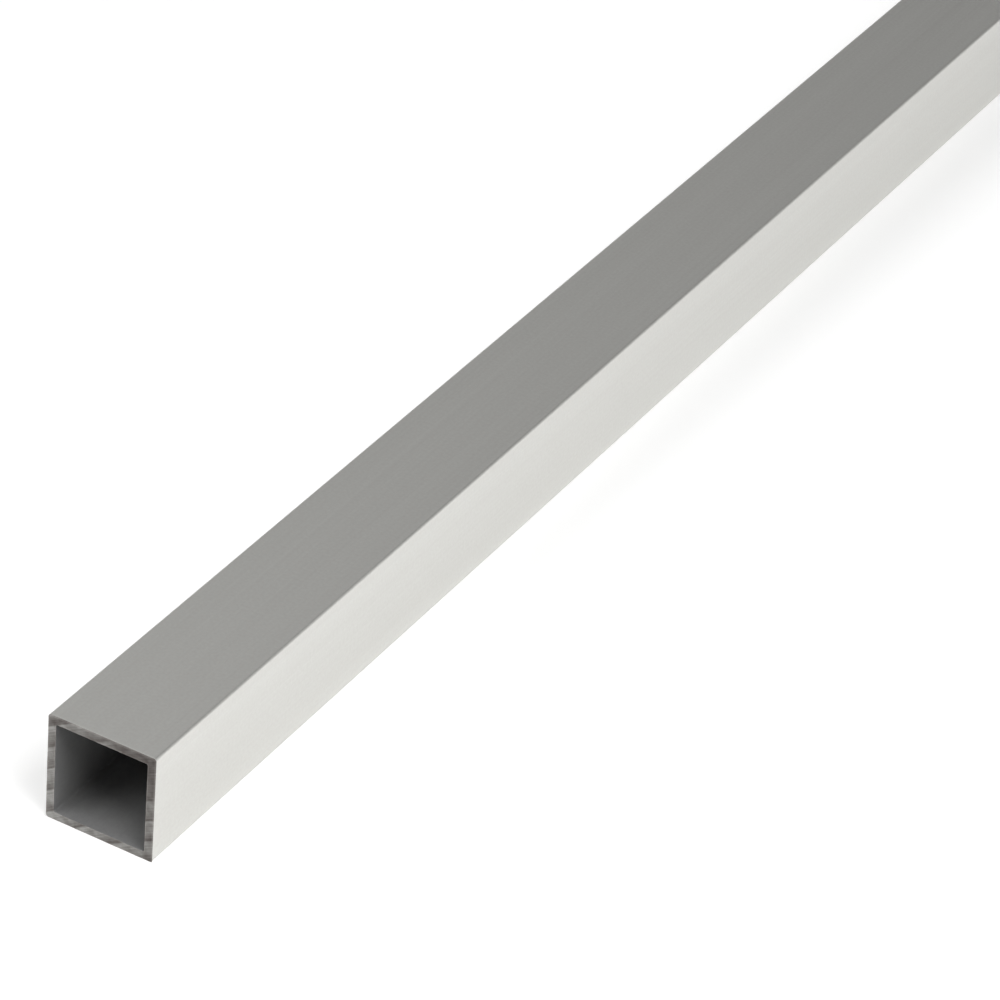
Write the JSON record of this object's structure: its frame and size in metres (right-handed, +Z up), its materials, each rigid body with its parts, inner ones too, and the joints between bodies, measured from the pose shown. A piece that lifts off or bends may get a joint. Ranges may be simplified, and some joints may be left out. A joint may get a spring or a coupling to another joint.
{
  "type": "square metal tube",
  "caption": "Straight length of square hollow tube in satin anodised aluminium, thin even walls, crisp long edges, sawn square at both ends.",
  "frame": {"origin": "on the floor, under the middle of the tube's length and width", "axes": "+Y along the tube, away from the end that the picture shows; +Z up, through the top face; +X to the right as the pictured end is looked at"},
  "size_m": [0.02, 1, 0.02],
  "materials": {
    "anodised_aluminium": "satin, natural silver anodised along the faces, bare sawn metal on the cut ends"
  },
  "bodies": {
    "root": {"square_tube": "anodised_aluminium"}
  },
  "joints": []
}
